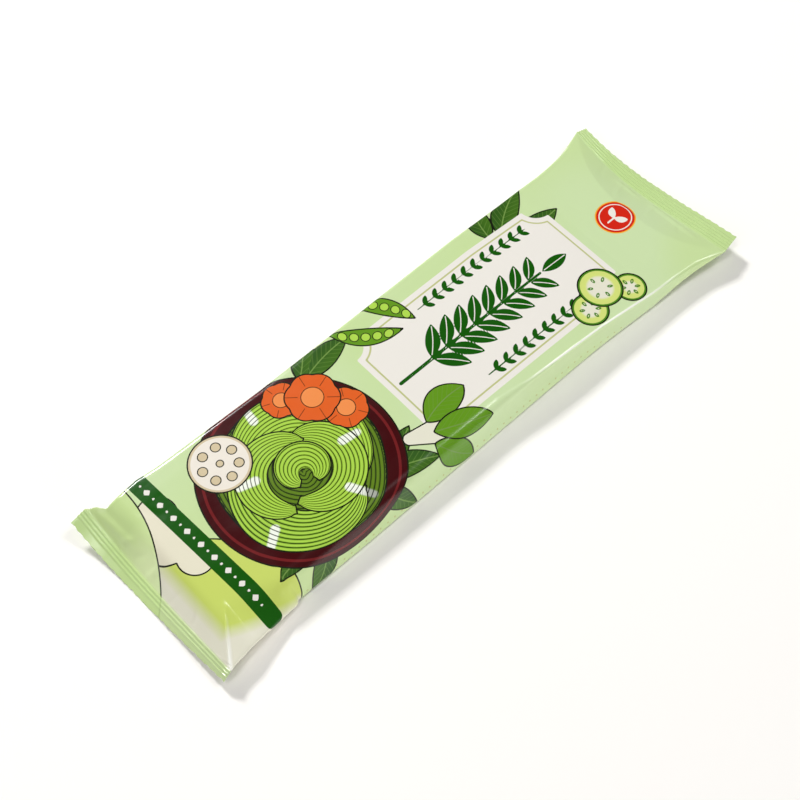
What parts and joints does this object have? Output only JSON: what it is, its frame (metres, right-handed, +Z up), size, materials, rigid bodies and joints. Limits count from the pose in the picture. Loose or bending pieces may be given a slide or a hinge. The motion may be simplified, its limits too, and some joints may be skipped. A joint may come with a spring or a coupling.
{
  "type": "pack of dried noodles",
  "caption": "Slim shut pillow pack of straight dried noodles in printed green film, with crimped zigzag seals at its ends and a folded back seam.",
  "frame": {"origin": "under the middle of the pack, on the surface it lies on", "axes": "+X along the pack, towards the end with the longer empty slope; +Y across it; +Z up, out of the printed face"},
  "size_m": [0.2314, 0.07, 0.0127],
  "materials": {
    "film": "printed laminated film with a soft satin gloss"
  },
  "bodies": {
    "root": {"pack": "film"}
  },
  "joints": []
}
